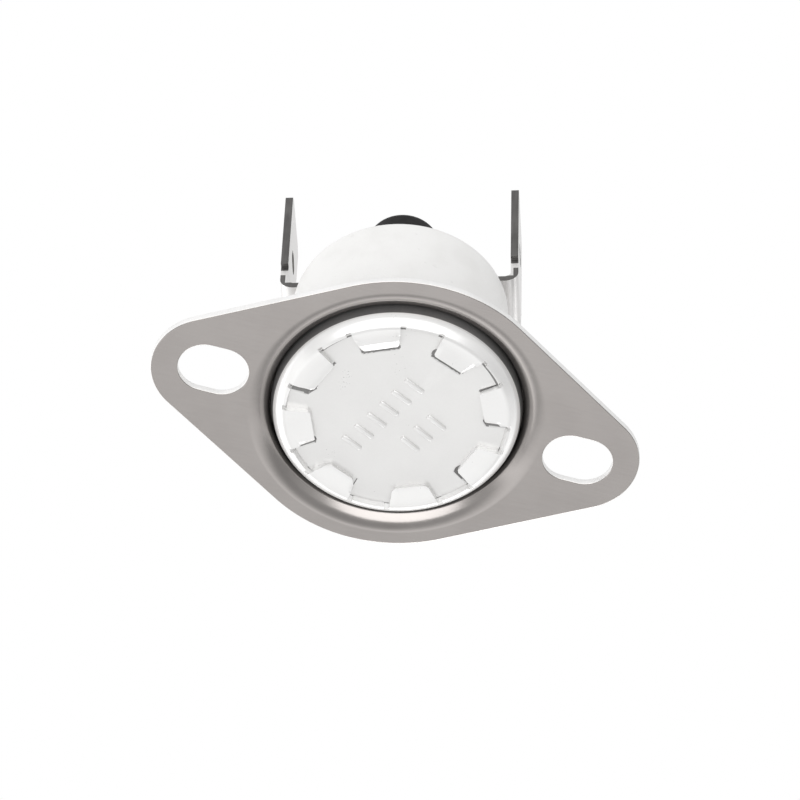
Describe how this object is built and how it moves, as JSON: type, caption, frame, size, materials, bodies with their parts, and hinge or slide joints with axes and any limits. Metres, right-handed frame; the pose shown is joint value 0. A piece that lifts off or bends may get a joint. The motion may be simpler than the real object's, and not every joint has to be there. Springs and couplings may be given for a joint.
{
  "type": "bimetal thermostat",
  "caption": "Snap-disc bimetal thermostat in a ceramic body with a crimped sensing head, a loose slotted flange, blade terminals and a manual reset button.",
  "frame": {"origin": "middle of the sensing face, in the plane of the folded tabs that the part rests on", "axes": "+Z away from the sensing face towards the terminals, +X along the two slots of the flange at rest"},
  "size_m": [0.0318, 0.0208, 0.0223],
  "materials": {
    "flange_steel": "dull satin, plated",
    "head_aluminium": "bright, drawn",
    "cup_aluminium": "fine satin",
    "ceramic": "unglazed, smooth",
    "terminal_plate": "tin plated",
    "rivet_plate": "nickel plated",
    "spring_bronze": "rolled",
    "contact_silver": "matt silver alloy",
    "bimetal_sheet": "rolled",
    "button_black": "moulded phenolic"
  },
  "bodies": {
    "housing": {"ceramic_body": "ceramic", "crimp_ring": "head_aluminium", "sensing_cup": "cup_aluminium", "bimetal_disc": "bimetal_sheet", "guide_plate": "ceramic", "contact_strip": "spring_bronze", "fixed_contact": "contact_silver", "left_terminal": "terminal_plate", "right_terminal": "terminal_plate", "left_rivet": "rivet_plate", "right_rivet": "rivet_plate"},
    "flange": {"mounting_flange": "flange_steel"},
    "button": {"reset_button": "button_black"},
    "pin": {"transfer_pin": "ceramic"},
    "arm": {"contact_arm": "spring_bronze", "moving_contact": "contact_silver"}
  },
  "joints": [
    {"name": "flange_swivel", "type": "hinge", "parent": "housing", "child": "flange", "pos_m": [0, 0, 0.0005], "axis": [0, 0, 1], "continuous": true},
    {"name": "button_slide", "type": "slide", "parent": "housing", "child": "button", "axis": [0, 0, 1], "range_m": [0, 0.0006]},
    {"name": "pin_slide", "type": "slide", "parent": "housing", "child": "pin", "axis": [0, 0, 1], "range_m": [0, 0.0006], "deforming": ["bimetal_disc"]},
    {"name": "arm_flex", "type": "hinge", "parent": "housing", "child": "arm", "pos_m": [-0.00311, 0.0011, 0.00685], "axis": [-0.3338, -0.9426, 0], "range_deg": [0, 10.42], "deforming": ["contact_arm"]}
  ],
  "couplings": [
    {"joint": "pin_slide", "follows": "button_slide", "ratio": 1},
    {"joint": "arm_flex", "follows": "button_slide", "rad_per_m": 303.03}
  ]
}
